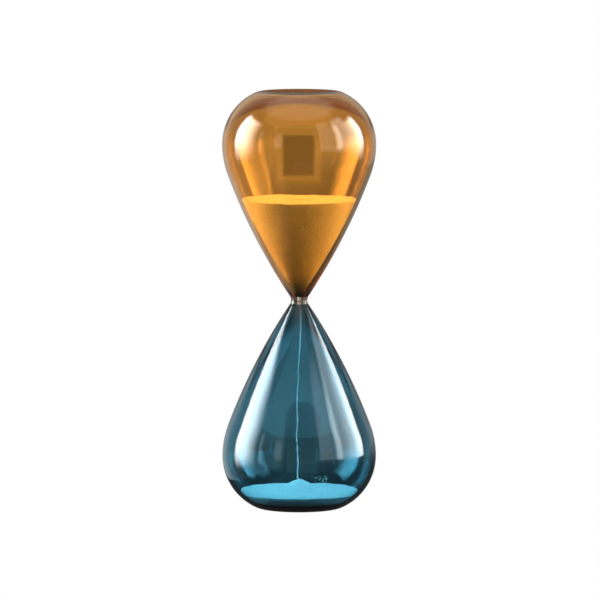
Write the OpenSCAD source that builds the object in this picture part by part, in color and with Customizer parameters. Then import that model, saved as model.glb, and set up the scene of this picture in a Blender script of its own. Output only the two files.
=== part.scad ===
// Two-tone glass sand timer: an amber bulb over a blue bulb, joined at a narrow clear neck, with
// white sand part way through its run. It stands on the flat end of its lower bulb.
// Units are millimetres. The origin is the centre of the lower resting face and +Z runs up the
// axis. Both bulbs have the same outside, mirrored about the waist, and every piece is a turned
// shape about that axis, so each outline is drawn once in the (radius, height above waist) plane.

/* [Overall] */
// Height between the two flat ends
height = 200; // [170:1:240]
// Greatest diameter of each bulb
bulb_d = 73.5; // [62:0.5:88]

/* [Bulb outline] */
// Distance from a flat end to the widest level of its bulb
end_h = 25.3; // [21:0.1:30]
// Diameter of each flat end, inside its rounded rim
flat_d = 34.2; // [28:0.2:41]
// Radius of the rounded rim of each flat end
rim_r = 9.7; // [8:0.1:11.6]
// Radius of the belly arc, below the widest level
belly_r = 42.6; // [35:0.2:51]
// Radius of the long arc of the flank, from the belly to the neck
flank_r = 286; // [238:1:340]

/* [Glass] */
// Wall at the widest level
wall = 1.8; // [1.5:0.05:2.4]
// Glass thickness at the lower flat end
base_t = 4; // [3.4:0.1:4.8]
// Glass thickness at the upper flat end and its rim
crown_t = 1.8; // [1.5:0.05:2.4]
// Radius of the long arc inside the flank, smaller than outside so that the glass thickens
flank_in_r = 246; // [205:1:260]
// Diameter of the flat floor inside the lower bulb
floor_d = 44.4; // [37:0.2:48]
// Radius of the rounded corner of that floor
floor_round = 3; // [2.5:0.1:3.6]
// Depth of the hollow pressed into the middle of the lower flat end
punt_h = 1.2; // [1:0.1:1.6]
// Diameter of that hollow
punt_d = 27; // [22:0.5:28]

/* [Neck] */
// Outer diameter of each bulb where it meets the neck collar
neck_d = 8.6; // [7.6:0.1:10.4]
// Outer diameter at the waist of the collar
waist_d = 8; // [6.7:0.1:8.4]
// Height of the collar
collar_h = 3.4; // [2.8:0.1:4.2]
// Diameter of the throat that meters the sand
throat_d = 1; // [0.9:0.05:1.2]

/* [Fill hole] */
// Diameter of the fill hole through the lower flat end
fill_d = 8; // [6.6:0.1:9.6]
// Radial clearance between the fill hole and what closes it
plug_clear = 0.05; // [0.04:0.01:0.1]
// Thickness of the seal over the plug
seal_t = 0.6; // [0.5:0.05:0.75]
// Chamfer on both ends of the plug
plug_chamfer = 0.3; // [0.25:0.05:0.4]

/* [Sand] */
// Gap between sand and glass
sand_gap = 0.1; // [0.08:0.01:0.15]
// Height of the upper sand's surface above the waist
upper_level = 48.4; // [40:0.2:58]
// Depth of the dimple that the outflow draws in the upper surface
dimple_h = 2.4; // [2:0.1:3]
// Diameter of that dimple
dimple_d = 18; // [15:0.5:22]
// Height of the lower sand's bed above the resting face
bed_level = 8.3; // [6.9:0.1:10]
// Height of the mound's peak above the bed
mound_h = 5.5; // [4.6:0.1:6.6]
// Steepness of the mound, in degrees
repose = 27; // [22.5:0.5:32]
// Radius of the mound's rounded crown
crown_r = 5; // [4.2:0.1:6]
// Radial clearance between the falling stream and the throat
stream_clear = 0.2; // [0.15:0.01:0.24]
// Number of stray grains lying on the bed
grain_count = 14; // [8:1:20]
// Diameter of a stray grain
grain_d = 0.6; // [0.5:0.05:0.75]

/* [Hidden] */
$fn = 120;
// The arcs of the outlines are finer than the turning, because some are very large
ARC_FN = 360;
// A cut runs this far past the face that it opens
CUT = 1;
// A slice of an outline runs this far into the next one
LAP = 0.5;

waist_z = height / 2;
collar_z = collar_h / 2;
// An outline is [widest radius, its height, belly, flank, mouth radius, end height, end's flat
// radius, end's rim]. Heights are above the waist.
belly_z = waist_z - end_h;
outer = [bulb_d / 2, belly_z, belly_r, flank_r, neck_d / 2, waist_z, flat_d / 2, rim_r];
cavity = [bulb_d / 2 - wall, belly_z, belly_r - wall, flank_in_r, throat_d / 2,
          waist_z - base_t, floor_d / 2, floor_round];
// The upper cavity has the same walls, but its end follows the outside at an even thickness
upper_cavity = [cavity[0], belly_z, cavity[2], flank_in_r, cavity[4],
                waist_z - crown_t, outer[6], rim_r - crown_t];

punt_round = (punt_d^2 / 4 + punt_h^2) / (2 * punt_h);
fill_r = fill_d / 2;
plug_r = fill_r - plug_clear;
// Heights above the resting face
seal_top = punt_h + seal_t;
bed_depth = waist_z - bed_level;

stream_r = throat_d / 2 - stream_clear;
// The crown of the mound is cut flat as wide as the stream that lands on it
crown_z = mound_h - crown_r;
peak_z = crown_z + sqrt(crown_r^2 - stream_r^2);
mound_r = crown_r * sin(repose) + (crown_z + crown_r * cos(repose)) / tan(repose);

GOLDEN_ANGLE = 137.508;
// Stray grains keep this far from the mound's foot and from the glass
grain_margin = 2 * grain_d;

// Centre of the circle of radius big that passes through point p and touches, from outside, the
// circle of radius small about c. Of the two it is the one on the far side of the axis.
function flank_centre(c, small, p, big) =
    let (span = norm(p - c),
         u = (p - c) / span,
         along = ((big - small)^2 - big^2 + span^2) / (2 * span),
         across = sqrt((big - small)^2 - along^2))
    c + along * u + across * [u[1], -u[0]];

// Radius of the shoulder arc that is upright at the widest level and runs into the rim arc
function shoulder_radius(o) =
    let (out = o[0] - o[6], up = o[5] - o[7] - o[1])
    (out^2 + up^2 - o[7]^2) / (2 * (out - o[7]));

// Where the line from one arc's centre through the next one's leaves the circle of radius r
function join_point(from, to, r) = from + (to - from) / norm(to - from) * r;

// Radius of an outline, less an inset, at a height on its shoulder
function shoulder_at(o, z, inset) =
    let (r = shoulder_radius(o))
    o[0] - r + sqrt((r - inset)^2 - (z - o[1])^2);

// Of two arcs that run into each other, the one of smaller radius lies inside the other, so its
// slice runs on past the join by this much and the two slices leave no seam
function lap(r, next_r) = r < next_r ? LAP : 0;

// Slice of a disc between two heights, filled back to the axis
module disc_band(c, r, low, high) {
    intersection() {
        translate(c) circle(r = r, $fn = ARC_FN);
        translate([0, low]) square([c[0] + r + CUT, high - low]);
    }
    if (c[0] > 0) translate([0, low]) square([c[0], high - low]);
}

// Half section of a bulb, filled in: flank, belly, shoulder and rim are four arcs that run into
// each other. A positive inset draws the same outline that much smaller all round.
module bulb_section(o, inset = 0) {
    belly_c = [o[0] - o[2], o[1]];
    flank_c = flank_centre(belly_c, o[2], [o[4], collar_z], o[3]);
    shoulder = shoulder_radius(o);
    shoulder_c = [o[0] - shoulder, o[1]];
    rim_c = [o[6], o[5] - o[7]];
    belly_low = join_point(flank_c, belly_c, o[3] - inset)[1];
    rim_low = join_point(shoulder_c, rim_c, shoulder - inset)[1];
    disc_band(flank_c, o[3] - inset, collar_z, belly_low + lap(o[3], o[2]));
    disc_band(belly_c, o[2] - inset, belly_low - lap(o[2], o[3]), o[1] + lap(o[2], shoulder));
    disc_band(shoulder_c, shoulder - inset, o[1] - lap(shoulder, o[2]), rim_low + lap(shoulder, o[7]));
    disc_band(rim_c, o[7] - inset, rim_low - lap(o[7], shoulder), o[5] - inset);
}

// Half section of one bulb's glass
module glass_section(inside) {
    difference() {
        bulb_section(outer);
        bulb_section(inside);
    }
}

// Keeps the part of a section on the positive side of the axis
module right_half() {
    intersection() {
        children();
        square([bulb_d, height]);
    }
}

// Turns an upper half section about the axis, in place above the waist
module turn_up() {
    translate([0, 0, waist_z]) rotate_extrude() right_half() children();
}

// Turns a half section in place below the waist, with heights measured down from it
module turn_down() {
    translate([0, 0, waist_z]) mirror([0, 0, 1]) rotate_extrude() right_half() children();
}

module upper_bulb() {
    color([0.85, 0.55, 0.22, 0.5]) turn_up() glass_section(upper_cavity);
}

// Lower bulb, with the hollow under its flat end and the fill hole through it
module lower_bulb() {
    color([0.16, 0.45, 0.55, 0.5]) turn_down() difference() {
        glass_section(cavity);
        translate([0, waist_z + punt_round - punt_h]) circle(r = punt_round, $fn = ARC_FN);
        translate([0, cavity[5] - CUT]) square([fill_r, base_t + 2 * CUT]);
    }
}

// Fused clear bead between the bulbs, pinched at its waist, with the throat through it
module neck_collar() {
    pinch = (neck_d - waist_d) / 2;
    pinch_r = (pinch^2 + collar_z^2) / (2 * pinch);
    color([0.9, 0.93, 0.93, 0.6]) translate([0, 0, waist_z]) rotate_extrude() difference() {
        translate([throat_d / 2, -collar_z]) square([(neck_d - throat_d) / 2, collar_h]);
        translate([waist_d / 2 + pinch_r, 0]) circle(r = pinch_r, $fn = ARC_FN);
    }
}

// Stopper in the fill hole, flush with the floor inside
module fill_plug() {
    color([0.82, 0.84, 0.82]) rotate_extrude() polygon([
        [0, seal_top], [plug_r - plug_chamfer, seal_top], [plug_r, seal_top + plug_chamfer],
        [plug_r, base_t - plug_chamfer], [plug_r - plug_chamfer, base_t], [0, base_t]]);
}

// Clear seal that closes the fill hole over the plug
module plug_seal() {
    color([0.9, 0.92, 0.9, 0.6]) translate([0, 0, punt_h]) cylinder(r = plug_r, h = seal_t);
}

// Sand still to run: it fills the cone down to the throat and dips where it drains
module upper_sand() {
    dimple_round = (dimple_d^2 / 4 + dimple_h^2) / (2 * dimple_h);
    color([0.95, 0.72, 0.2]) turn_up() difference() {
        intersection() {
            bulb_section(cavity, sand_gap);
            square([bulb_d, upper_level]);
        }
        translate([0, upper_level + dimple_round - dimple_h]) circle(r = dimple_round, $fn = ARC_FN);
    }
}

// Falling thread of sand, from the foot of the upper sand to the crown of the mound
module sand_stream() {
    foot = bed_level + peak_z;
    color([0.95, 0.96, 0.95]) translate([0, 0, foot])
        cylinder(r = stream_r, h = waist_z + collar_z - foot);
}

// Sand that has run: a level bed in the rounded floor, with a mound under the stream
module lower_sand() {
    color([0.4, 0.76, 0.88]) union() {
        turn_down() intersection() {
            bulb_section(cavity, sand_gap);
            translate([0, bed_depth]) square([bulb_d, waist_z]);
        }
        translate([0, 0, bed_level]) rotate_extrude() mound_section();
    }
}

// Half section of the mound: a straight slope with a rounded crown
module mound_section() {
    shoulder = [crown_r * sin(repose), crown_z + crown_r * cos(repose)];
    intersection() {
        union() {
            polygon([[0, 0], [mound_r, 0], shoulder, [0, shoulder[1]]]);
            disc_band([0, crown_z], crown_r, shoulder[1], mound_h);
        }
        square([mound_r, peak_z]);
    }
}

// Stray grains scattered over the bed between the mound's foot and the glass
module stray_grains() {
    near = mound_r + grain_margin;
    far = shoulder_at(cavity, bed_depth, sand_gap) - grain_margin;
    color([0.75, 0.88, 0.92]) for (i = [0 : grain_count - 1])
        rotate([0, 0, i * GOLDEN_ANGLE])
            translate([near + (far - near) * (i + 0.5) / grain_count, 0, bed_level + grain_d / 2])
                sphere(d = grain_d, $fn = 24);
}

upper_bulb();
lower_bulb();
neck_collar();
fill_plug();
plug_seal();
upper_sand();
sand_stream();
lower_sand();
stray_grains();
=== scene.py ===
"""Looks of a two-tone glass sand timer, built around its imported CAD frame.

The timer is blown glass: an amber bulb over a blue bulb, joined by a clear neck, with fine white
sand inside. Every piece is a turned shape about the Z axis. Lengths are metres, and sizes that are
easier to read in millimetres are written as a number times MM.
"""

import logging
import math
import random
from collections.abc import Callable
from dataclasses import dataclass, field, replace
from enum import Enum
from typing import Any

import bmesh
import bpy
from bmesh.types import BMesh, BMFace, BMVert
from bpy.types import Material, Node, NodeSocket, NodeTree, Object
from mathutils import Matrix, Vector, noise

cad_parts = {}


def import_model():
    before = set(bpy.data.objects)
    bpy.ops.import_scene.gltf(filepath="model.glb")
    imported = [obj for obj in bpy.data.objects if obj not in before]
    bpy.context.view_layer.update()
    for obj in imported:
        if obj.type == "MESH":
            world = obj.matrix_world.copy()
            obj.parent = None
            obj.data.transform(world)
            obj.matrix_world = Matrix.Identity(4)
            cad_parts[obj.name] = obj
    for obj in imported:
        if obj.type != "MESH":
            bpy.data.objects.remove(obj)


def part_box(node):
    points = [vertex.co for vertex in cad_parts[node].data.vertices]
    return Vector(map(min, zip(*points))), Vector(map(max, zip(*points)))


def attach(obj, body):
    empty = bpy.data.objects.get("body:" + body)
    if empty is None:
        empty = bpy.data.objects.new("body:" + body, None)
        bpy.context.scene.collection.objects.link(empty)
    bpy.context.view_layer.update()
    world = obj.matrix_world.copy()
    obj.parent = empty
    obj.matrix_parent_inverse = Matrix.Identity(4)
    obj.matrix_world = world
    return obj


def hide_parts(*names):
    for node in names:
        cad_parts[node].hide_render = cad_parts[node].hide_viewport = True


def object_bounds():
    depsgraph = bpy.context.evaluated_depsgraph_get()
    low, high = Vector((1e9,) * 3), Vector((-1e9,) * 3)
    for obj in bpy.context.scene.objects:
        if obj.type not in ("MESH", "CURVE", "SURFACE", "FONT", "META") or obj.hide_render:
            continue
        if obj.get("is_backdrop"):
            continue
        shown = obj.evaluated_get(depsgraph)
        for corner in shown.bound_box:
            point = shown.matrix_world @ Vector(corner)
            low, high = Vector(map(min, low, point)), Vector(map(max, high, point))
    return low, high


LOG = logging.getLogger("sand_timer")
MM = 0.001
ROOT = "root"
# A vertex nearer to the axis than this lies on it
ON_AXIS = 1e-7
# Faces whose normal rises less than this are the sides of a heap, not its free surface
SIDE_RISE = 0.3

Colour = tuple[float, float, float, float]
# (height, length) of each layer of unevenness
Layers = tuple[tuple[float, float], ...]


def linear(hex_colour: str) -> Colour:
    """Turns an sRGB hex colour into linear light.

    Args:
        hex_colour: six hex digits after a #.

    Returns:
        Linear red, green and blue, and an alpha of 1.
    """
    srgb = [int(hex_colour[i : i + 2], 16) / 255 for i in (1, 3, 5)]
    light = [c / 12.92 if c <= 0.04045 else ((c + 0.055) / 1.055) ** 2.4 for c in srgb]
    return (light[0], light[1], light[2], 1.0)


def add_node(tree: NodeTree, kind: str, inputs: dict[int | str, Any] | None = None, **settings: Any) -> Node:
    """Adds a node with its settings, and links or sets its inputs.

    Args:
        tree: the node tree to add to.
        kind: the node's type, without its prefix.
        inputs: socket name or number to a plain value, or to the output that feeds it.
        **settings: properties of the node.

    Returns:
        The new node.
    """
    node = tree.nodes.new(f"ShaderNode{kind}")
    for name, value in settings.items():
        setattr(node, name, value)
    for name, value in (inputs or {}).items():
        if isinstance(value, NodeSocket):
            tree.links.new(value, node.inputs[name])
        else:
            node.inputs[name].default_value = value
    return node


def clouded(
    tree: NodeTree, place: NodeSocket, size: float, first: Colour, second: Colour, detail: float = 2.0
) -> NodeSocket:
    """Drifts between two colours in soft patches.

    Args:
        tree: the node tree to add to.
        place: where on the piece.
        size: of a patch.
        first: one linear colour.
        second: the other one.
        detail: layers of finer patches.

    Returns:
        The colour there.
    """
    drift = add_node(tree, "TexNoise", {"Vector": place, "Scale": 1.0 / size, "Detail": detail})
    return add_node(tree, "Mix", {0: drift.outputs[0], 6: first, 7: second}, data_type="RGBA").outputs[2]


def new_material(name: str) -> tuple[Material, NodeTree, NodeSocket]:
    """Makes an empty material.

    Args:
        name: what the finish is called.

    Returns:
        The material, its node tree, and the place on the piece.
    """
    material = bpy.data.materials.new(name)
    material.use_nodes = True
    tree = material.node_tree
    tree.nodes.clear()
    return material, tree, add_node(tree, "TexCoord").outputs["Object"]


def new_object(bm: BMesh, name: str, material: Material) -> Object:
    """Puts a bmesh into the scene.

    Args:
        bm: the mesh, which is freed.
        name: what the object is called.
        material: its finish.

    Returns:
        The new object, at the origin.
    """
    mesh = bpy.data.meshes.new(name)
    bm.to_mesh(mesh)
    bm.free()
    mesh.materials.append(material)
    made = bpy.data.objects.new(name, mesh)
    bpy.context.scene.collection.objects.link(made)
    return made


def cap_radius(half_width: float, rise: float) -> float:
    """Finds the radius of an arc from half its width and its rise."""
    return (half_width**2 + rise**2) / (2 * rise)


def off_axis(r: float, angle: float, z: float) -> Vector:
    """Finds the point at a distance from the axis, an angle round it and a height."""
    return Vector((r * math.cos(angle), r * math.sin(angle), z))


class Lathe:
    """Draws a half section point by point, then turns it about the Z axis.

    The section lies in the XZ plane. Its lines are extruded from the last point, and its arcs are
    that point spun about the arc's centre.
    """

    def __init__(self, r: float, z: float, step: float) -> None:
        """Starts a section.

        Args:
            r: radius of the first point.
            z: height of the first point.
            step: greatest length of a segment along an arc.
        """
        self.bm = bmesh.new()
        self.tip = self.bm.verts.new((r, 0.0, z))
        self.step = step

    def jump_to(self, r: float, z: float) -> None:
        """Goes on from another point, with no line between."""
        self.tip = self.bm.verts.new((r, 0.0, z))

    def line_to(self, r: float, z: float, pieces: int = 1) -> None:
        """Draws a straight line in equal pieces."""
        start = self.tip.co.copy()
        for i in range(1, pieces + 1):
            made = bmesh.ops.extrude_vert_indiv(self.bm, verts=[self.tip])
            self.tip = made["verts"][0]
            self.tip.co = start.lerp(Vector((r, 0.0, z)), i / pieces)

    def arc_to(self, centre: Vector, r: float, z: float) -> None:
        """Draws an arc from the last point.

        Args:
            centre: (radius, height) of the arc's centre.
            r: radius of the arc's last point.
            z: height of that point.
        """
        here = math.atan2(self.tip.co.z - centre.y, self.tip.co.x - centre.x)
        there = math.atan2(z - centre.y, r - centre.x)
        # A turn about +Y takes +Z towards +X, so its sign is the other way round in this plane
        turn = (here - there + math.pi) % math.tau - math.pi
        length = abs(turn) * (Vector((self.tip.co.x, self.tip.co.z)) - centre).length
        made = bmesh.ops.spin(
            self.bm,
            geom=[self.tip],
            cent=(centre.x, 0.0, centre.y),
            axis=(0.0, 1.0, 0.0),
            angle=turn,
            steps=max(2, math.ceil(length / self.step)),
        )
        self.tip = next(e for e in made["geom_last"] if isinstance(e, BMVert))
        self.tip.co = (r, 0.0, z)

    def turn(self, around: int) -> BMesh:
        """Turns the section all the way round and closes its seam and poles.

        Args:
            around: number of steps round the axis.

        Returns:
            The turned mesh, its faces pointing outwards.
        """
        bm = self.bm
        bmesh.ops.remove_doubles(bm, verts=bm.verts[:], dist=ON_AXIS)
        bmesh.ops.spin(
            bm,
            geom=bm.verts[:] + bm.edges[:],
            cent=(0.0, 0.0, 0.0),
            axis=(0.0, 0.0, 1.0),
            angle=math.tau,
            steps=around,
            use_merge=True,
        )
        bmesh.ops.remove_doubles(bm, verts=bm.verts[:], dist=ON_AXIS)
        bmesh.ops.dissolve_degenerate(bm, edges=bm.edges[:], dist=ON_AXIS)
        bmesh.ops.recalc_face_normals(bm, faces=bm.faces[:])
        return bm


def finish_piece(
    bm: BMesh,
    node: str,
    kind: str,
    material: Material,
    crease: float = math.radians(40),
) -> Object:
    """Turns a bmesh into a smooth-shaded piece that stands for a CAD node.

    Args:
        bm: the piece's mesh, which is freed.
        node: the CAD node that it replaces.
        kind: what it is, the last word of its name.
        material: its finish.
        crease: faces that meet at more than this angle keep a sharp edge.

    Returns:
        The new object, at the origin.
    """
    for face in bm.faces:
        face.smooth = True
    for edge in bm.edges:
        edge.smooth = not (edge.is_manifold and edge.calc_face_angle(0.0) > crease)
    piece = new_object(bm, f"{node}_{kind}", material)
    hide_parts(node)
    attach(piece, ROOT)
    LOG.info("%s: %d faces, stands for %s", piece.name, len(piece.data.polygons), node)
    return piece


# ---------------------------------------------------------------- finishes


@dataclass(frozen=True)
class StainedGlass:
    """Blown borosilicate glass, fire-polished, then stained by a metal oxide film fired on.

    Most of the colour is in the thin film, and the glass itself is only faintly tinted, so just the
    long paths inside it, along the outlines and in a thick base, go dark. Towards the neck the film
    loses its colour, as the coloured glass runs out there, and turns darker, which is painted shade.
    The surface is as smooth as a liquid's, so it gives hard, clear reflections.

    Attributes:
        name: what the glass is called.
        tint: colour of white light after one wall.
        neck_tint: the same at the neck, greyer, and darker as painted shade.
        body: colour of white light after a wall's depth of the glass without its film.
        depth: a wall's thickness.
        fade: heights above the table between which the neck's tint turns into the bulb's.
        cloud: how much the film's density drifts over the bulb.
        patch: size of such a drift.
        ior: index of refraction.
        roughness: fire-polished, so almost none.
    """

    name: str
    tint: str
    neck_tint: str
    body: str
    depth: float
    fade: tuple[float, float]
    cloud: float = 0.06
    patch: float = 33.3 * MM
    ior: float = 1.47
    roughness: float = 0.0

    def film(self, tint: str, strength: float = 1.0) -> Colour:
        """Finds the film's own share of a tint.

        Args:
            tint: colour of white light after one wall.
            strength: above 1 for a denser film.

        Returns:
            The film's linear colour.
        """
        red, green, blue = (
            min(1.0, whole / inside) ** strength
            for whole, inside in zip(linear(tint)[:3], linear(self.body)[:3])
        )
        return (red, green, blue, 1.0)

    def material(self) -> Material:
        """Builds a clear dielectric with a stained surface round a faintly coloured body."""
        material, tree, place = new_material(self.name)
        height = add_node(tree, "SeparateXYZ", {0: place}).outputs[2]
        start, end = self.fade
        share = add_node(tree, "MapRange", {0: height, 1: start, 2: end}, interpolation_type="SMOOTHSTEP")
        thin, dense = self.film(self.tint, 1 - self.cloud), self.film(self.tint, 1 + self.cloud)
        bulb = clouded(tree, place, self.patch, thin, dense, detail=1.0)
        film = add_node(
            tree,
            "Mix",
            {0: share.outputs[0], 6: self.film(self.neck_tint), 7: bulb},
            data_type="RGBA",
        )
        surface = add_node(
            tree,
            "BsdfPrincipled",
            {
                "Base Color": film.outputs[2],
                "Roughness": self.roughness,
                "IOR": self.ior,
                "Transmission Weight": 1.0,
            },
        )
        per_metre = [-math.log(c) / self.depth for c in linear(self.body)[:3]]
        density = max(per_metre)
        body = add_node(
            tree,
            "VolumeAbsorption",
            {"Color": (*(1.0 - a / density for a in per_metre), 1.0), "Density": density},
        )
        add_node(tree, "OutputMaterial", {"Surface": surface.outputs[0], "Volume": body.outputs[0]})
        return material


@dataclass(frozen=True)
class DrySand:
    """Fine washed quartz sand, dyed white, dry and free running.

    The grains are rounded and frosted, so the heap looks matt and powdery with a faint speckle.

    Attributes:
        name: what the sand is called.
        pale: colour of the lighter grains.
        shade: colour of the darker grains.
        grain: size of a speckle. The real grains are about 0.15 mm, too fine to show, so the
            speckle is drawn about three times as coarse.
        drift: size of the slow changes of tone.
        drift_share: their share of the tone, the rest being the speckle.
        relief: strength of the grain-sized bumps.
        roughness: frosted, so nearly full.
        ior: of quartz.
        gleam: level of the weak sheen that is left.
        seep: how far light spreads from grain to grain.
        seep_share: how much of it does.
    """

    name: str = "white_quartz_sand"
    pale: str = "#F3F4F4"
    shade: str = "#C3C7C9"
    grain: float = 0.45 * MM
    drift: float = 6.3 * MM
    drift_share: float = 0.4
    relief: float = 0.5
    roughness: float = 0.9
    ior: float = 1.54
    gleam: float = 0.3
    seep: float = 1.3 * MM
    seep_share: float = 0.5

    def material(self) -> Material:
        """Builds a matt speckled surface with grain-sized bumps."""
        material, tree, place = new_material(self.name)
        grains = add_node(tree, "TexVoronoi", {"Vector": place, "Scale": 1.0 / self.grain})
        drift = add_node(tree, "TexNoise", {"Vector": place, "Scale": 1.0 / self.drift, "Detail": 3.0})
        tone = add_node(
            tree,
            "Mix",
            {0: self.drift_share, 2: grains.outputs["Color"], 3: drift.outputs[0]},
            data_type="FLOAT",
        )
        colour = add_node(
            tree,
            "Mix",
            {0: tone.outputs[0], 6: linear(self.shade), 7: linear(self.pale)},
            data_type="RGBA",
        )
        bump = add_node(
            tree,
            "Bump",
            {"Strength": self.relief, "Distance": self.grain, "Height": grains.outputs["Distance"]},
        )
        surface = add_node(
            tree,
            "BsdfPrincipled",
            {
                "Base Color": colour.outputs[2],
                "Roughness": self.roughness,
                "IOR": self.ior,
                "Specular IOR Level": self.gleam,
                "Subsurface Weight": self.seep_share,
                "Subsurface Radius": (1.0, 1.0, 1.0),
                "Subsurface Scale": self.seep,
                "Normal": bump.outputs[0],
            },
        )
        add_node(tree, "OutputMaterial", {"Surface": surface.outputs[0]})
        return material


@dataclass(frozen=True)
class SetPolymer:
    """Polymer that was mixed and then set, so that its tone drifts in faint swirls.

    Attributes:
        name: what the polymer is called.
        colour: its usual colour.
        swirled: the same where the mix was uneven.
        swirl: size of the swirls.
        roughness: of its skin.
        ior: index of refraction.
        clear: 1 for a clear polymer, 0 for a filled one.
    """

    name: str
    colour: str
    swirled: str
    swirl: float
    roughness: float
    ior: float
    clear: float = 0.0

    def material(self) -> Material:
        """Builds the skin, and the clear inside where there is one."""
        material, tree, place = new_material(self.name)
        tone = clouded(tree, place, self.swirl, linear(self.colour), linear(self.swirled))
        surface = add_node(
            tree,
            "BsdfPrincipled",
            {
                "Base Color": tone,
                "Roughness": self.roughness,
                "IOR": self.ior,
                "Transmission Weight": self.clear,
            },
        )
        add_node(tree, "OutputMaterial", {"Surface": surface.outputs[0]})
        return material


# Moulded silicone rubber, filled with soot: near black, with a soft matt skin and a broad dull sheen
CHARCOAL_SILICONE = SetPolymer("charcoal_silicone", "#303232", "#3B3D3D", 3 * MM, 0.5, 1.41)
# Poured and cured sealing resin: smoky and faintly warm, and glossy where its surface set free
SEALING_RESIN = SetPolymer("clear_sealing_resin", "#BDB9AC", "#B2AEA2", 2.5 * MM, 0.06, 1.52, clear=1.0)


# ---------------------------------------------------------------- outlines


@dataclass(frozen=True)
class Outline:
    """Half section of a bulb as four arcs that run into each other.

    Heights are measured from the waist towards the bulb's flat end.

    Attributes:
        widest_r: greatest radius.
        belly_z: its height.
        belly_r: radius of the belly arc.
        flank_r: radius of the long flank arc.
        mouth_r: radius at the neck.
        mouth_z: height of the neck's end face.
        end_z: height of the flat end.
        flat_r: radius of the flat end inside its rim.
        rim_r: radius of the rounded rim.
        inset: how much smaller the outline is drawn all round.
    """

    widest_r: float
    belly_z: float
    belly_r: float
    flank_r: float
    mouth_r: float
    mouth_z: float
    end_z: float
    flat_r: float
    rim_r: float
    inset: float = 0.0

    @property
    def belly_centre(self) -> Vector:
        """Centre of the belly arc."""
        return Vector((self.widest_r - self.belly_r, self.belly_z))

    @property
    def flank_centre(self) -> Vector:
        """Centre of the flank arc, which touches the belly arc and passes the mouth."""
        start = self.belly_centre
        mouth = Vector((self.mouth_r, self.mouth_z))
        span = (mouth - start).length
        way = (mouth - start) / span
        reach = self.flank_r - self.belly_r
        along = (reach**2 - self.flank_r**2 + span**2) / (2 * span)
        across = math.sqrt(reach**2 - along**2)
        return start + way * along + Vector((way.y, -way.x)) * across

    @property
    def shoulder_r(self) -> float:
        """Radius of the arc from the widest level to the rim."""
        out = self.widest_r - self.flat_r
        up = self.end_z - self.rim_r - self.belly_z
        return (out**2 + up**2 - self.rim_r**2) / (2 * (out - self.rim_r))

    @property
    def shoulder_centre(self) -> Vector:
        """Centre of the shoulder arc."""
        return Vector((self.widest_r - self.shoulder_r, self.belly_z))

    @property
    def rim_centre(self) -> Vector:
        """Centre of the rim arc."""
        return Vector((self.flat_r, self.end_z - self.rim_r))

    def stations(self) -> list[tuple[Vector, float, Vector]]:
        """Lists the arcs from the mouth to the flat end.

        Returns:
            The centre, the radius and the last point of each arc.
        """
        flank, belly = self.flank_centre, self.belly_centre
        shoulder, rim = self.shoulder_centre, self.rim_centre
        flank_r, belly_r, shoulder_r, rim_r = (
            r - self.inset for r in (self.flank_r, self.belly_r, self.shoulder_r, self.rim_r)
        )
        return [
            (flank, flank_r, flank + (belly - flank).normalized() * flank_r),
            (belly, belly_r, Vector((self.widest_r - self.inset, self.belly_z))),
            (shoulder, shoulder_r, shoulder + (rim - shoulder).normalized() * shoulder_r),
            (rim, rim_r, Vector((self.flat_r, self.end_z - self.inset))),
        ]

    def radius_at(self, z: float) -> float:
        """Finds the outline's radius at a height between the mouth and the rim."""
        centre, arc_r = next((c, r) for c, r, end in self.stations() if z <= end.y)
        return centre.x + math.sqrt(arc_r**2 - (z - centre.y) ** 2)

    def trace_up(self, lathe: Lathe, low: float | None = None, high: float | None = None) -> None:
        """Draws the arcs from the mouth towards the flat end.

        Args:
            lathe: draws them, and stands at the first point.
            low: the lathe's height, where that is above the mouth.
            high: where to stop, if not at the flat end.
        """
        for centre, _, end in self.stations():
            if low is not None and end.y <= low:
                continue
            if high is not None and end.y >= high:
                lathe.arc_to(centre, self.radius_at(high), high)
                return
            lathe.arc_to(centre, end.x, end.y)

    def trace_down(self, lathe: Lathe) -> None:
        """Draws the arcs from the flat end to the mouth."""
        arcs = self.stations()
        for (centre, _, _), (_, _, end) in zip(reversed(arcs[1:]), reversed(arcs[:-1])):
            lathe.arc_to(centre, end.x, end.y)
        lathe.arc_to(arcs[0][0], self.mouth_r, self.mouth_z)


class Half(Enum):
    """Which half of the timer a piece belongs to: the sign of Z away from the waist."""

    UPPER = 1
    LOWER = -1


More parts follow.
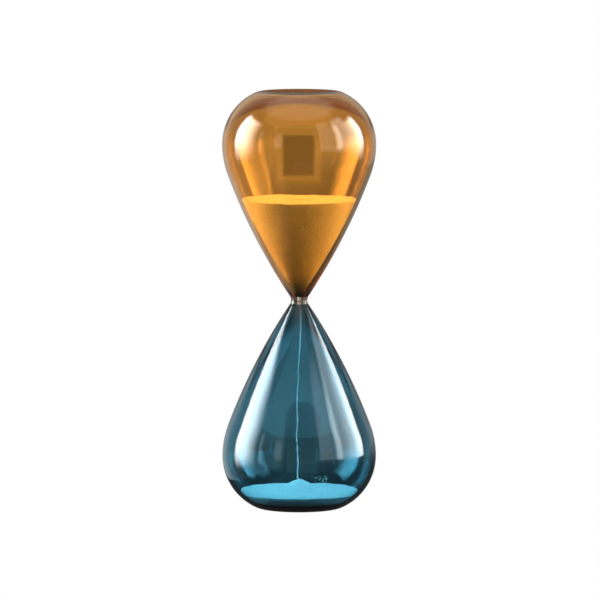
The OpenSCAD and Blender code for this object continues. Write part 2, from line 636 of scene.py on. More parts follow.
@dataclass(frozen=True)
class TimerSizes:
    """Sizes that the pieces share, the overall ones read from the frame.

    Attributes:
        waist_z: height of the waist above the resting face.
        widest_r: greatest radius of each bulb.
        collar_z: half the height of the neck collar.
        neck_r: radius at the collar's ends.
        plug_r: radius of the stopper.
        upper_level: height of the upper sand above the waist.
        bed_level: height of the lower sand's bed above the resting face.
        throat_r: radius of the throat.
        plug_gap: between the stopper and its hole.
        end_h: from each flat end to the widest level.
        flat_r: radius of each flat end.
        rim_r: radius of its rounded rim.
        belly_r: radius of the belly arc.
        flank_r: radius of the long flank arc.
        wall: thickness of the wall at the belly.
        base_t: thickness of the lower end.
        crown_t: thickness of the upper end.
        flank_in_r: radius of the cavity's flank arc.
        floor_r: radius of the lower cavity's flat floor.
        floor_round: radius of the round between that floor and the wall.
        punt_h: depth of the hollow under the lower end.
        punt_r: radius of that hollow.
        sand_gap: between the sand and the glass.
    """

    waist_z: float
    widest_r: float
    collar_z: float
    neck_r: float
    plug_r: float
    upper_level: float
    bed_level: float
    throat_r: float = 0.5 * MM
    plug_gap: float = 0.05 * MM
    end_h: float = 25.3 * MM
    flat_r: float = 17.1 * MM
    rim_r: float = 9.7 * MM
    belly_r: float = 42.6 * MM
    flank_r: float = 286 * MM
    wall: float = 1.8 * MM
    base_t: float = 4 * MM
    crown_t: float = 1.8 * MM
    flank_in_r: float = 246 * MM
    floor_r: float = 22.2 * MM
    floor_round: float = 3 * MM
    punt_h: float = 1.2 * MM
    punt_r: float = 13.5 * MM
    sand_gap: float = 0.1 * MM

    @classmethod
    def from_frame(cls) -> "TimerSizes":
        """Reads the overall sizes from the CAD nodes' boxes."""
        bulb_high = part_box("upper_bulb")[1]
        collar_low, collar_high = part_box("neck_collar")
        waist = bulb_high.z / 2
        return cls(
            waist_z=waist,
            widest_r=bulb_high.x,
            collar_z=(collar_high.z - collar_low.z) / 2,
            neck_r=collar_high.x,
            plug_r=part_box("fill_plug")[1].x,
            upper_level=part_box("upper_sand")[1].z - waist,
            bed_level=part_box("stray_grains")[0].z,
        )

    @property
    def hole_r(self) -> float:
        """Radius of the fill hole."""
        return self.plug_r + self.plug_gap

    @property
    def outer(self) -> Outline:
        """Outline of a bulb's outer face."""
        return Outline(
            widest_r=self.widest_r,
            belly_z=self.waist_z - self.end_h,
            belly_r=self.belly_r,
            flank_r=self.flank_r,
            mouth_r=self.neck_r,
            mouth_z=self.collar_z,
            end_z=self.waist_z,
            flat_r=self.flat_r,
            rim_r=self.rim_r,
        )

    def cavity(self, inset: float = 0.0) -> Outline:
        """Outline of a bulb's inner face, or of sand that clears it by an inset."""
        return Outline(
            widest_r=self.widest_r - self.wall,
            belly_z=self.waist_z - self.end_h,
            belly_r=self.belly_r - self.wall,
            flank_r=self.flank_in_r,
            mouth_r=self.throat_r,
            mouth_z=self.collar_z,
            end_z=self.waist_z - self.base_t,
            flat_r=self.floor_r,
            rim_r=self.floor_round,
            inset=inset,
        )

    def crown_cavity(self) -> Outline:
        """Outline of the upper bulb's inner face, which follows the outside round its flat end."""
        return replace(
            self.cavity(),
            end_z=self.waist_z - self.crown_t,
            flat_r=self.flat_r,
            rim_r=self.rim_r - self.crown_t,
        )


def place_half(bm: BMesh, half: Half, waist_z: float) -> None:
    """Moves a turned half section to its side of the waist, faces still outwards.

    Args:
        bm: the mesh, with heights measured from the waist.
        half: which side it belongs to.
        waist_z: height of the waist.
    """
    move = Matrix.Translation((0.0, 0.0, waist_z)) @ Matrix.Diagonal((1, 1, half.value, 1))
    bmesh.ops.transform(bm, matrix=move, verts=bm.verts[:])
    if half is Half.LOWER:
        bmesh.ops.recalc_face_normals(bm, faces=bm.faces[:])


# ---------------------------------------------------------------- glass


@dataclass
class GlassBulb:
    """One blown bulb, thin at the belly and thick at the neck.

    The upper one is thin at its flat end too. The lower one has a thick end to stand on, with a
    shallow hollow under it and the fill hole through it.

    Attributes:
        half: which bulb it is.
        sizes: the timer's sizes.
        glass: its finish.
        around: steps round the axis.
        step: segment length along the outline.
        waver: how far blowing leaves the wall from a true turned shape.
        waver_length: distance between such swells.
        true_end: how far from the neck and from the flat end the wall stays true.
    """

    half: Half
    sizes: TimerSizes
    glass: StainedGlass
    around: int = 160
    step: float = 1.4 * MM
    waver: float = 0.06 * MM
    waver_length: float = 22 * MM
    true_end: float = 6 * MM

    def build(self) -> Object:
        """Builds the bulb as one closed double wall."""
        s = self.sizes
        lathe = Lathe(s.throat_r, s.collar_z, self.step)
        lathe.line_to(s.neck_r, s.collar_z, pieces=4)
        s.outer.trace_up(lathe)
        if self.half is Half.LOWER:
            inside = s.cavity()
            lathe.line_to(s.punt_r, s.waist_z, pieces=3)
            punt_round = cap_radius(s.punt_r, s.punt_h)
            centre = Vector((0.0, s.waist_z + punt_round - s.punt_h))
            lathe.arc_to(centre, s.hole_r, centre.y - math.sqrt(punt_round**2 - s.hole_r**2))
            lathe.line_to(s.hole_r, inside.end_z, pieces=3)
        else:
            inside = s.crown_cavity()
            lathe.line_to(0.0, s.waist_z, pieces=12)
            lathe.jump_to(0.0, inside.end_z)
        lathe.line_to(inside.flat_r, inside.end_z, pieces=12)
        inside.trace_down(lathe)
        bm = lathe.turn(self.around)
        self.sway(bm)
        place_half(bm, self.half, s.waist_z)
        node = f"{self.half.name.lower()}_bulb"
        return finish_piece(bm, node, "glass", self.glass.material())

    def sway(self, bm: BMesh) -> None:
        """Gives the walls the slight swells of blown glass, thinner only, never thicker."""
        bm.normal_update()
        low = self.sizes.outer.mouth_z + self.true_end
        high = self.sizes.outer.end_z - self.true_end
        own_part = Vector((3.1, 7.7, self.half.value))
        for vert in bm.verts:
            z = vert.co.z
            fade = min(1.0, (z - low) / (2 * self.true_end), (high - z) / self.true_end)
            if fade <= 0.0:
                continue
            swell = noise.noise(vert.co / self.waver_length + own_part)
            vert.co -= vert.normal * self.waver * fade * (0.5 + 0.5 * swell)


@dataclass
class NeckCollar:
    """Clear bead that the two bulbs are fused to, pinched at its waist and pierced by the throat.

    Attributes:
        sizes: the timer's sizes.
        glass: its finish, clear glass whose dark grey-brown tint is painted shade.
        waist_r: radius at the pinch.
        gap: how far each end stands back from its bulb's end face.
        around: steps round the axis.
    """

    sizes: TimerSizes
    glass: StainedGlass
    waist_r: float = 4 * MM
    gap: float = 0.01 * MM
    around: int = 96

    def build(self) -> Object:
        """Builds the bead as a closed ring."""
        s = self.sizes
        top = s.collar_z - self.gap
        pinch_r = cap_radius(top, s.neck_r - self.waist_r)
        lathe = Lathe(s.throat_r, -top, 0.2 * MM)
        lathe.line_to(s.neck_r, -top, pieces=4)
        lathe.arc_to(Vector((self.waist_r + pinch_r, 0.0)), s.neck_r, top)
        lathe.line_to(s.throat_r, top, pieces=4)
        lathe.line_to(s.throat_r, -top, pieces=6)
        bm = lathe.turn(self.around)
        place_half(bm, Half.UPPER, s.waist_z)
        return finish_piece(bm, "neck_collar", "glass", self.glass.material())


# ---------------------------------------------------------------- what closes the fill hole


@dataclass
class Closure:
    """Stopper in the fill hole, and the resin poured over it.

    Attributes:
        chamfer: on both ends of the stopper.
        meniscus: how far the resin creeps up the hole's wall.
        gap: between the resin and the stopper.
        around: steps round the axis.
    """

    chamfer: float = 0.3 * MM
    meniscus: float = 0.25 * MM
    gap: float = 0.01 * MM
    around: int = 72

    def build_plug(self) -> Object:
        """Builds the stopper with rounded chamfers."""
        low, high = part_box("fill_plug")
        inner, bottom, top = high.x - self.chamfer, low.z + self.chamfer, high.z - self.chamfer
        lathe = Lathe(0.0, low.z, 0.2 * MM)
        lathe.line_to(inner, low.z, pieces=4)
        lathe.arc_to(Vector((inner, bottom)), high.x, bottom)
        lathe.line_to(high.x, top, pieces=3)
        lathe.arc_to(Vector((inner, top)), inner, high.z)
        lathe.line_to(0.0, high.z, pieces=4)
        rubber = CHARCOAL_SILICONE.material()
        return finish_piece(lathe.turn(self.around), "fill_plug", "silicone", rubber)

    def build_seal(self) -> Object:
        """Builds the resin with a hollow free surface, as it sets in a hole."""
        low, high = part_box("plug_seal")
        crest, top = low.z + self.meniscus, high.z - self.gap
        lathe = Lathe(high.x, low.z, 0.3 * MM)
        lathe.arc_to(Vector((0.0, crest - cap_radius(high.x, self.meniscus))), 0.0, crest)
        lathe.jump_to(0.0, top)
        lathe.line_to(high.x, top, pieces=6)
        lathe.line_to(high.x, low.z, pieces=2)
        resin = SEALING_RESIN.material()
        return finish_piece(lathe.turn(self.around), "plug_seal", "resin", resin)


# ---------------------------------------------------------------- sand


def rumple(bm: BMesh, top_z: float, layers: Layers) -> None:
    """Raises and lowers the free surface of a sand heap.

    Args:
        bm: the sand, in place.
        top_z: vertices above this height are on the free surface.
        layers: (height, length) of each layer of unevenness.
    """
    bm.normal_update()
    for vert in bm.verts:
        if vert.co.z < top_z or vert.normal.z < SIDE_RISE:
            continue
        for k, (height, length) in enumerate(layers):
            own_part = Vector((k, 5.0 * k, 2.0))
            vert.co.z += height * noise.noise(vert.co / length + own_part)


@dataclass
class Grains:
    """Loose grains, each a small rounded facet ball.

    Attributes:
        count: how many there are.
        seed: of the places and turns.
        size: usual diameter of a grain.
        spread: smallest and largest, as shares of the usual one.
        flat: thickness of a grain, as a share of its diameter.
        tilt: axis that they are turned about.
        shaker: draws the random numbers.
    """

    count: int
    seed: int
    size: float = 0.32 * MM
    spread: tuple[float, float] = (0.6, 1.15)
    flat: float = 0.8
    tilt: tuple[float, float, float] = (0.4, 0.7, 0.6)
    shaker: random.Random = field(init=False)

    def __post_init__(self) -> None:
        """Seeds the random places."""
        self.shaker = random.Random(self.seed)

    def drop(self, bm: BMesh, place: Vector) -> None:
        """Adds one grain, its size and turn its own."""
        size = self.size * self.shaker.uniform(*self.spread)
        turn = Matrix.Rotation(self.shaker.uniform(0.0, math.tau), 4, Vector(self.tilt))
        squeeze = Matrix.Diagonal((1.0, self.shaker.uniform(0.7, 1.0), self.flat, 1.0))
        spot = Matrix.Translation(place) @ turn @ squeeze
        bmesh.ops.create_icosphere(bm, subdivisions=1, radius=size / 2, matrix=spot)

    def scatter(self, bm: BMesh, reach: float, height: Callable[[float], float], bare: float = 0.0) -> None:
        """Drops all the grains evenly over a round surface.

        Args:
            bm: the mesh that they join.
            reach: radius of the surface.
            height: gives its height at a distance from the axis.
            bare: share of its area, round the middle, that stays bare.
        """
        for _ in range(self.count):
            r = reach * math.sqrt(self.shaker.uniform(bare, 1.0))
            self.drop(bm, off_axis(r, self.shaker.uniform(0.0, math.tau), height(r)))


@dataclass
class UpperSand:
    """Sand still to run, level with a shallow dip where it drains.

    Attributes:
        sizes: the timer's sizes.
        sand: its finish.
        dip_h: depth of the dip.
        dip_r: radius of the dip.
        uneven: (height, length) of each layer of the free surface's unevenness.
        edge_gap: from the outermost grains to the edge.
        around: steps round the axis.
    """

    sizes: TimerSizes
    sand: Material
    dip_h: float = 2.4 * MM
    dip_r: float = 9 * MM
    uneven: Layers = ((0.25 * MM, 9 * MM), (0.12 * MM, 2.5 * MM))
    edge_gap: float = 0.5 * MM
    around: int = 160

    def build(self) -> Object:
        """Builds the cone of sand and its free surface."""
        s = self.sizes
        wall = s.cavity(s.sand_gap)
        level = s.upper_level
        lathe = Lathe(0.0, s.collar_z, 1.0 * MM)
        lathe.line_to(wall.radius_at(s.collar_z), s.collar_z, pieces=2)
        wall.trace_up(lathe, high=level)
        lathe.line_to(self.dip_r, level, pieces=26)
        dip_round = cap_radius(self.dip_r, self.dip_h)
        rise = dip_round - self.dip_h
        lathe.arc_to(Vector((0.0, level + rise)), 0.0, level - self.dip_h)
        bm = lathe.turn(self.around)
        place_half(bm, Half.UPPER, s.waist_z)
        top = s.waist_z + level
        rumple(bm, top - self.dip_h - 1 * MM, self.uneven)

        def surface(r: float) -> float:
            """Finds the free surface's height at a distance from the axis."""
            return top - max(0.0, math.sqrt(max(0.0, dip_round**2 - r**2)) - rise)

        Grains(500, seed=11).scatter(bm, wall.radius_at(level) - self.edge_gap, surface)
        return finish_piece(bm, "upper_sand", "heap", self.sand)


@dataclass
class LowerSand:
    """Sand that has run: a bed in the rounded floor, and a mound under the stream.

    Attributes:
        sizes: the timer's sizes.
        sand: its finish.
        mound_h: height of the mound's peak above the bed.
        repose: steepness of its slope.
        crown_r: radius of its rounded crown.
        foot_r: radius of the hollow curve where the slope runs out on the bed.
        uneven: (height, length) of each layer of the free surface's unevenness.
        edge_gap: from the outermost grains to the edge.
        around: steps round the axis.
        rings: steps from the edge to the axis.
    """

    sizes: TimerSizes
    sand: Material
    mound_h: float = 5.5 * MM
    repose: float = math.radians(27)
    crown_r: float = 5 * MM
    foot_r: float = 6 * MM
    uneven: Layers = ((0.3 * MM, 8 * MM), (0.12 * MM, 2.2 * MM))
    edge_gap: float = 0.5 * MM
    around: int = 160
    rings: int = 56

    def height_at(self, r: float) -> float:
        """Finds the height of the free surface above the bed.

        Args:
            r: distance from the axis.

        Returns:
            The height of the crown, slope, foot or bed there.
        """
        slope = math.tan(self.repose)
        crown_edge = self.crown_r * math.sin(self.repose)
        crown_z = self.mound_h - self.crown_r
        if r <= crown_edge:
            return crown_z + math.sqrt(self.crown_r**2 - r**2)
        shoulder = crown_z + self.crown_r * math.cos(self.repose)
        foot = crown_edge + shoulder / slope
        reach = self.foot_r * math.tan(self.repose / 2)
        if r >= foot + reach:
            return 0.0
        if r <= foot - reach * math.cos(self.repose):
            return shoulder - (r - crown_edge) * slope
        return self.foot_r - math.sqrt(self.foot_r**2 - (foot + reach - r) ** 2)

    def build(self) -> Object:
        """Builds the bed and mound as one closed heap."""
        s = self.sizes
        wall = s.cavity(s.sand_gap)
        depth = s.waist_z - s.bed_level
        edge = wall.radius_at(depth)
        lathe = Lathe(0.0, wall.end_z - s.sand_gap, 1.0 * MM)
        lathe.line_to(wall.flat_r, wall.end_z - s.sand_gap, pieces=10)
        shoulder, _, rim_join = wall.stations()[2]
        lathe.arc_to(wall.rim_centre, rim_join.x, rim_join.y)
        lathe.arc_to(shoulder, edge, depth)
        for i in range(self.rings - 1, -1, -1):
            r = edge * i / self.rings
            lathe.line_to(r, depth - self.height_at(r))
        bm = lathe.turn(self.around)
        place_half(bm, Half.LOWER, s.waist_z)
        rumple(bm, s.bed_level - 0.01 * MM, self.uneven)
        Grains(700, seed=23).scatter(bm, edge - self.edge_gap, lambda r: s.bed_level + self.height_at(r))
        return finish_piece(bm, "lower_sand", "heap", self.sand)


@dataclass
class SandStream:
    """Falling thread of sand: close-packed under the throat, breaking into grains lower down.

    Attributes:
        sizes: the timer's sizes, not used.
        sand: its finish.
        drift: (fall, sideways) points of the thread's lean, straight down the throat at first.
        wander: how far the thread strays from that lean.
        true_fall: how far it falls before it strays, and before it thins.
        loosening: further fall over which it comes to stray fully.
        sway_lengths: distance between its bends, sideways and towards the eye.
        spending: further fall over which it thins.
        thinning: share of its width that it loses.
        ragged: unevenness of its width at the top.
        knot: distance between its thicker places.
        spray: how far the lowest loose grains fly from it.
        rings: steps along it.
        sides: steps round it.
    """

    sizes: TimerSizes
    sand: Material
    drift: tuple[tuple[float, float], ...] = (
        (3.4 * MM, 0.0),
        (8 * MM, 0.7 * MM),
        (16 * MM, 0.7 * MM),
        (30 * MM, -0.3 * MM),
        (52 * MM, -1.0 * MM),
        (90 * MM, -0.6 * MM),
    )
    wander: float = 0.6 * MM
    true_fall: tuple[float, float] = (4 * MM, 6 * MM)
    loosening: float = 20 * MM
    sway_lengths: tuple[float, float] = (7 * MM, 13 * MM)
    spending: float = 40 * MM
    thinning: float = 0.55
    ragged: float = 0.3
    knot: float = 2 * MM
    spray: float = 0.5 * MM
    rings: int = 150
    sides: int = 10

    def path(self, z: float, top: float) -> Vector:
        """Finds the thread's middle at a height.

        Args:
            z: the height.
            top: height of the thread's top.

        Returns:
            The middle, on the axis in the throat and straying lower down.
        """
        fall = top - z
        lean = 0.0
        for (start, before), (end, after) in zip(self.drift, self.drift[1:]):
            share = min(1.0, max(0.0, (fall - start) / (end - start)))
            lean += (after - before) * share * share * (3 - 2 * share)
        sway = self.wander * min(1.0, max(0.0, fall - self.true_fall[0]) / self.loosening)
        aside, near = (fall / length for length in self.sway_lengths)
        return Vector(
            (
                lean + sway * noise.noise(Vector((aside, 0.3, 1.7))),
                sway * noise.noise(Vector((near, 4.1, 0.2))),
                z,
            )
        )

    def build(self) -> Object:
        """Builds the thread and its loose grains."""
        low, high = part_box("sand_stream")
        whole = high.z - self.true_fall[1]
        middle = Vector((0.0, 0.0, high.z))
        bm = bmesh.new()
        disc = bmesh.ops.create_circle(
            bm, cap_ends=True, segments=self.sides, radius=high.x, matrix=Matrix.Translation(middle)
        )
        cap = disc["verts"][0].link_faces[0]
        for i in range(1, self.rings + 1):
            z = high.z + (low.z - high.z) * i / self.rings
            made = bmesh.ops.extrude_face_region(bm, geom=[cap])
            if i > 1:
                bmesh.ops.delete(bm, geom=[cap], context="FACES_ONLY")
            verts = [g for g in made["geom"] if isinstance(g, BMVert)]
            cap = next(g for g in made["geom"] if isinstance(g, BMFace))
            goal = self.path(z, high.z)
            bmesh.ops.translate(bm, vec=goal - middle, verts=verts)
            middle = goal
            spent = min(1.0, max(0.0, whole - z) / self.spending)
            knots = (self.ragged + spent) * noise.noise(Vector((z / self.knot, 0, 0)))
            thin = (1 - self.thinning * spent) * (1 + knots)
            thin = 1.0 if i == self.rings else max(0.2, thin)
            for vert in verts:
                vert.co = goal + (vert.co - goal).normalized() * high.x * thin
        bmesh.ops.recalc_face_normals(bm, faces=bm.faces[:])
        grains = Grains(260, seed=5, size=0.3 * MM)
        for _ in range(grains.count):
            share = grains.shaker.random() ** 0.7
            z = whole - (whole - low.z) * share
            off = high.x + self.spray * share * grains.shaker.random()
            turn = grains.shaker.uniform(0.0, math.tau)
            grains.drop(bm, self.path(z, high.z) + off_axis(off, turn, 0.0))
        return finish_piece(bm, "sand_stream", "thread", self.sand)


@dataclass
class StrayGrains:
    """Grains that have bounced away: some lie on the bed, a few cling to the glass behind it.

    Attributes:
        sizes: the timer's sizes.
        sand: its finish.
        lower: the heap that they lie on.
        lift: how high above the bed the lying ones' middles are.
        edge_gap: from the outermost of those to the edge.
        cling_h: how far up the wall the others reach.
        cling_gap: from their middles to the wall's clearance.
        cling_side: least, greatest and usual azimuth of those, in degrees.
    """

    sizes: TimerSizes
    sand: Material
    lower: LowerSand
    lift: float = 0.2 * MM
    edge_gap: float = 1 * MM
    cling_h: float = 3.4 * MM
    cling_gap: float = 0.1 * MM
    cling_side: tuple[float, float, float] = (60.0, 76.0, 66.0)

    def build(self) -> Object:
        """Builds the grains."""
        s = self.sizes
        bm = bmesh.new()
        wall = s.cavity(s.sand_gap)
        edge = wall.radius_at(s.waist_z - s.bed_level) - self.edge_gap
        Grains(60, seed=3, size=0.5 * MM).scatter(
            bm, edge, lambda r: s.bed_level + self.lower.height_at(r) + self.lift, bare=0.05
        )
        dust = Grains(54, seed=19, size=0.42 * MM)
        for _ in range(dust.count):
            z = s.bed_level + self.cling_h * dust.shaker.random() ** 0.8
            r = wall.radius_at(s.waist_z - z) - self.cling_gap
            turn = math.radians(dust.shaker.triangular(*self.cling_side))
            dust.drop(bm, off_axis(r, turn, z))
        return finish_piece(bm, "stray_grains", "loose", self.sand)


# ---------------------------------------------------------------- studio


@dataclass(frozen=True)
class Panel:
    """One light or dark area of the studio, by its direction from the timer.

    Attributes:
        azimuth: degrees from the camera's side, right positive: where the light starts, is full,
            starts to fall and is gone.
        elevation: the same above the horizon.
        power: radiance where it is full.
    """

    azimuth: tuple[float, float, float, float]
    elevation: tuple[float, float, float, float]
    power: float

    def light(self, tree: NodeTree, azimuth: NodeSocket, height: NodeSocket) -> NodeSocket:
        """Adds the nodes for the panel.

        Args:
            tree: the world's node tree.
            azimuth: direction round the timer, in radians.
            height: direction above the horizon, in radians.

        Returns:
            Its radiance in a direction.
        """
        light: float | NodeSocket = self.power
        for value, stops in ((azimuth, self.azimuth), (height, self.elevation)):
            start, full, fall, gone = (math.radians(d) for d in stops)
            for dark, lit in ((start, full), (gone, fall)):
                light = add_node(
                    tree,
                    "MapRange",
                    {0: value, 1: dark, 2: lit, 3: 0.0, 4: light},
                    interpolation_type="SMOOTHSTEP",
                ).outputs[0]
        return light


@dataclass(frozen=True)
class Flag:
    """Dull card behind the timer, out of the camera's sight, that darkens what the glass shows.

    Attributes:
        name: what the card is called.
        centre: middle of the card.
        half_width: half its width.
        half_height: half its height.
        rounding: how round its top is, from 0 for square to 1 for a full arch.
        soft: width of its blurred edge.
        level: its radiance.
        colour: its colour.
    """

    name: str
    centre: Vector
    half_width: float
    half_height: float
    rounding: float
    soft: float
    level: float
    colour: str = "#FFFFFF"

    def build(self) -> None:
        """Stands the card up facing the camera, its blurred edge fading to nothing."""
        material, tree, place = new_material(self.name)
        corner = self.half_width * self.rounding
        inner = (self.half_width - corner, self.half_height - corner, 0.0)
        mirror, corner_only = (-1.0, 1.0, 1.0), (0.0, 0.0, 0.0)
        steps = (("MULTIPLY", mirror), ("MAXIMUM", place), ("SUBTRACT", inner), ("MAXIMUM", corner_only))
        past = place
        for operation, other in steps:
            past = add_node(tree, "VectorMath", {0: past, 1: other}, operation=operation).outputs[0]
        apart = add_node(tree, "VectorMath", {0: past}, operation="LENGTH")
        outside = add_node(tree, "Math", {0: apart.outputs["Value"], 1: corner}, operation="SUBTRACT")
        y = add_node(tree, "SeparateXYZ", {0: place}).outputs[1]
        below = add_node(tree, "Math", {0: y, 1: -1.0, 2: -self.half_height}, operation="MULTIPLY_ADD")
        edge = add_node(tree, "Math", {0: outside.outputs[0], 1: below.outputs[0]}, operation="MAXIMUM")
        clear = add_node(
            tree,
            "MapRange",
            {0: edge.outputs[0], 1: -self.soft, 2: self.soft},
            interpolation_type="SMOOTHSTEP",
        )
        glow = add_node(tree, "Emission", {"Color": linear(self.colour), "Strength": self.level})
        gap = add_node(tree, "BsdfTransparent")
        mix = add_node(tree, "MixShader", {0: clear.outputs[0], 1: glow.outputs[0], 2: gap.outputs[0]})
        add_node(tree, "OutputMaterial", {"Surface": mix.outputs[0]})
        bm = bmesh.new()
        bmesh.ops.create_grid(bm, x_segments=1, y_segments=1, size=1.0)
        reach = Vector((self.half_width + self.soft, self.half_height + self.soft, 1.0))
        bmesh.ops.scale(bm, vec=reach, verts=bm.verts[:])
        card = new_object(bm, self.name, material)
        card.location = self.centre
        card.rotation_euler.x = math.pi / 2
        card.visible_camera = False
        card.visible_diffuse = False
        card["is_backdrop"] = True


@dataclass
class Studio:
    """Plain pale studio: a white table, tall softboxes at both sides and a long lens.

    The eye sees only white round the timer. The glass sees the table, the lights and the dim room.

    Attributes:
        aim_z: height that the camera looks at.
        aim_x: how far to the right of the axis it looks.
        distance: from the camera to that point.
        elevation: of the camera above the horizon.
        lens: focal length, in millimetres.
        sensor: width of the camera's sensor, in millimetres.
        sight: how far the camera sees.
        room: radiance of the dim room in front of the timer and beside it.
        room_back: the same behind it.
        room_turn: degrees from the camera's side between which the one turns into the other.
        fill: how much more of the light reaches matt surfaces than glass.
        table_half: half the table's width.
        table_back: how far it reaches behind the timer.
        table_left: how far it reaches to the left.
        table_drop: how far it lies below the timer.
        foot_level: the table's radiance round the timer's foot.
        far_level: the same farther off.
        end_level: the same at its far end.
        far_turn: distances between which the first turns into the second.
        end_turn: distances between which the second turns into the third.
        bounces: how many walls of glass light goes through.
        gloss_bounces: how often it is thrown back by them.
        matt_bounces: how often it is thrown back by sand.
        panels: the lights, and the dark areas with less than no radiance of their own.
        flags: a wooden board far back for the flat top, and a card or two behind each bulb.
    """

    aim_z: float
    aim_x: float = 0.4 * MM
    distance: float = 3.2
    elevation: float = math.radians(5.2)
    lens: float = 402.0
    sensor: float = 36.0
    sight: float = 60.0
    room: float = 0.22
    room_back: float = 0.45
    room_turn: tuple[float, float] = (120.0, 150.0)
    fill: float = 1.65
    table_half: float = 0.5
    table_back: float = 2.6
    table_left: float = 0.055
    table_drop: float = 0.02 * MM
    foot_level: float = 0.05
    far_level: float = 0.26
    end_level: float = 0.5
    far_turn: tuple[float, float] = (0.05, 0.5)
    end_turn: tuple[float, float] = (1.5, 2.7)
    bounces: int = 24
    gloss_bounces: int = 8
    matt_bounces: int = 4
    panels: tuple[Panel, ...] = (
        Panel((-116, -110, -96, -66), (-18, 8, 34, 42), 15.0),
        Panel((-66, -63, -62, -58), (-12, -4, 22, 30), 1.5),
        Panel((78, 114, 110, 116), (-16, 8, 30, 40), 15.5),
        Panel((56, 61, 65, 72), (-10, 0, 30, 44), 5.5),
        Panel((60, 68, 84, 96), (-10, 4, 42, 50), 3.0),
        Panel((30, 34, 54, 58), (-10, -4, 42, 50), 1.1),
        Panel((-40, -36, -28, -25), (-6, 2, 14, 30), 1.0),
        Panel((-182, -181, 181, 182), (50, 62, 100, 101), 0.8),
        Panel((-178, -150, -150, -116), (-91, -90, 91, 92), 0.15),
        Panel((150, 165, 181, 182), (0.5, 2, 5.5, 7.5), -0.43),
        Panel((-182, -181, -165, -150), (0.5, 2, 5.5, 7.5), -0.43),
        Panel((-30, -18, 18, 30), (-50, -40, 30, 45), -0.12),
    )
    flags: tuple[Flag, ...] = (
        Flag("wooden_board", Vector((0.0, 2.4, 0.35)), 0.8, 0.09, 0.0, 0.02, 0.38, "#FFB376"),
        Flag("neck_card", Vector((0.0, 0.06, 0.0885)), 160 * MM, 4 * MM, 0.3, 9 * MM, 0.02),
        Flag("pale_card", Vector((-0.0003, 0.102, 0.163)), 12 * MM, 14.5 * MM, 0.3, 2 * MM, 0.48),
        Flag("upper_flag", Vector((-0.0003, 0.1, 0.1622)), 8.2 * MM, 10.6 * MM, 0.15, 1.2 * MM, 0.25),
        Flag("lower_flag", Vector((0.0016, 0.1, 0.022)), 8.6 * MM, 19 * MM, 0.9, 1.2 * MM, 0.13),
    )

    def build_camera(self) -> None:
        """Places the camera in front of the timer, a little above its middle."""
        data = bpy.data.cameras.new("camera")
        data.lens = self.lens
        data.sensor_width = self.sensor
        data.clip_end = self.sight
        camera = bpy.data.objects.new("camera", data)
        bpy.context.scene.collection.objects.link(camera)
        back = Vector((0.0, -math.cos(self.elevation), math.sin(self.elevation)))
        camera.location = Vector((self.aim_x, 0.0, self.aim_z)) + back * self.distance
        camera.rotation_mode = "QUATERNION"
        camera.rotation_quaternion = (-back).to_track_quat("-Z", "Y")
        bpy.context.scene.camera = camera

    def unseen(self, tree: NodeTree, light: NodeSocket, matt: float = 1.0) -> NodeSocket:
        """Hides a light from the camera, which sees plain white there.

        Args:
            tree: the node tree to add to.
            light: radiance that the glass sees.
            matt: how much more of it reaches matt surfaces.

        Returns:
            The radiance for each kind of path.
        """
        path = add_node(tree, "LightPath").outputs
        share = add_node(tree, "Mix", {0: path["Diffuse Depth"], 2: 1.0, 3: matt}, data_type="FLOAT")
        scaled = add_node(tree, "Math", {0: light, 1: share.outputs[0]}, operation="MULTIPLY")
        return add_node(
            tree,
            "Mix",
            {0: path["Is Camera Ray"], 2: scaled.outputs[0], 3: 1.0},
            data_type="FLOAT",
        ).outputs[0]

    def build_world(self) -> None:
        """Lights the studio by the direction of each panel from the timer."""
        world = bpy.data.worlds.new("studio")
        bpy.context.scene.world = world
        world.use_nodes = True
        tree = world.node_tree
        tree.nodes.clear()
        way = add_node(tree, "TexCoord").outputs["Generated"]
        x, y, z = add_node(tree, "SeparateXYZ", {0: way}).outputs
        front = add_node(tree, "Math", {0: y, 1: -1.0}, operation="MULTIPLY")
        azimuth = add_node(tree, "Math", {0: x, 1: front.outputs[0]}, operation="ARCTAN2").outputs[0]
        height = add_node(tree, "Math", {0: z}, operation="ARCSINE").outputs[0]
        aside = add_node(tree, "Math", {0: azimuth}, operation="ABSOLUTE").outputs[0]
        start, end = (math.radians(d) for d in self.room_turn)
        light = add_node(
            tree,
            "MapRange",
            {0: aside, 1: start, 2: end, 3: self.room, 4: self.room_back},
            interpolation_type="SMOOTHSTEP",
        ).outputs[0]
        for panel in self.panels:
            light = add_node(
                tree, "Math", {0: light, 1: panel.light(tree, azimuth, height)}, operation="ADD"
            ).outputs[0]
        shine = add_node(
            tree,
            "Background",
            {"Color": linear("#FFFFFF"), "Strength": self.unseen(tree, light, self.fill)},
        )
        add_node(tree, "OutputWorld", {"Surface": shine.outputs[0]})

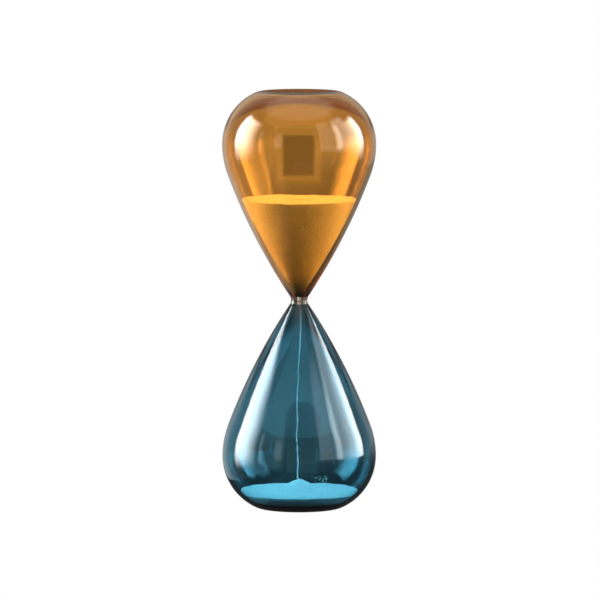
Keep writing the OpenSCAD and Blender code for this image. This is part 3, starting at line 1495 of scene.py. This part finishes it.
    def build_table(self) -> None:
        """Lays the table, white to the eye and dim in the glass; its left edge is close by."""
        material, tree, place = new_material("white_paper_table")
        apart = add_node(tree, "VectorMath", {0: place}, operation="LENGTH")
        level: float | NodeSocket = self.foot_level
        turns = ((self.far_turn, self.far_level), (self.end_turn, self.end_level))
        for (start, end), after in turns:
            level = add_node(
                tree,
                "MapRange",
                {0: apart.outputs["Value"], 1: start, 2: end, 3: level, 4: after},
                interpolation_type="SMOOTHSTEP",
            ).outputs[0]
        shine = add_node(tree, "Emission", {"Strength": self.unseen(tree, level)})
        add_node(tree, "OutputMaterial", {"Surface": shine.outputs[0]})
        bm = bmesh.new()
        bmesh.ops.create_grid(bm, x_segments=1, y_segments=1, size=self.table_half)
        far = [v for v in bm.verts if v.co.y > 0]
        bmesh.ops.translate(bm, vec=(0.0, self.table_back - self.table_half, 0.0), verts=far)
        left = [v for v in bm.verts if v.co.x < 0]
        bmesh.ops.translate(bm, vec=(self.table_half - self.table_left, 0.0, 0.0), verts=left)
        table = new_object(bm, "table", material)
        table.location.z = -self.table_drop
        table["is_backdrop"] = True

    def set_exposure(self) -> None:
        """Keeps colours as they are and lets light through many walls of glass unblurred."""
        scene = bpy.context.scene
        scene.view_settings.view_transform = "Standard"
        scene.cycles.max_bounces = self.bounces
        scene.cycles.transmission_bounces = self.bounces
        scene.cycles.glossy_bounces = self.gloss_bounces
        scene.cycles.diffuse_bounces = self.matt_bounces
        scene.cycles.blur_glossy = 0.0
        scene.cycles.sample_clamp_indirect = 0.0

    def build(self) -> None:
        """Builds the whole studio."""
        self.build_camera()
        self.build_world()
        self.build_table()
        for flag in self.flags:
            flag.build()
        self.set_exposure()


def main() -> None:
    """Builds the timer piece by piece round its frame, then the studio."""
    logging.basicConfig(level=logging.INFO, format="%(name)s: %(message)s")
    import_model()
    cad_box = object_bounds()
    sizes = TimerSizes.from_frame()
    waist = sizes.waist_z
    # Each bulb's neck tint is greyer than the bulb's, and darker as painted shade.
    amber = StainedGlass(
        "amber_glass", "#FFCF81", "#8B8062", "#FBF1EA", sizes.wall, (waist + 1 * MM, waist + 15 * MM)
    )
    blue = StainedGlass(
        "blue_glass", "#98D0E2", "#B9AEA4", "#B4D6DF", sizes.wall, (waist - 3 * MM, waist - 12 * MM)
    )
    # The collar is clear glass; its grey-brown tint is painted shade.
    clear = StainedGlass(
        "clear_glass", "#A89C91", "#A89C91", "#C9C4BC", sizes.neck_r, (waist, waist + 2 * MM)
    )
    sand = DrySand().material()
    GlassBulb(Half.UPPER, sizes, amber).build()
    GlassBulb(Half.LOWER, sizes, blue).build()
    NeckCollar(sizes, clear).build()
    closure = Closure()
    closure.build_plug()
    closure.build_seal()
    UpperSand(sizes, sand).build()
    lower = LowerSand(sizes, sand)
    lower.build()
    SandStream(sizes, sand).build()
    StrayGrains(sizes, sand, lower).build()
    low, high = cad_box
    Studio(aim_z=(low.z + high.z) / 2).build()


if __name__ == "__main__":
    main()
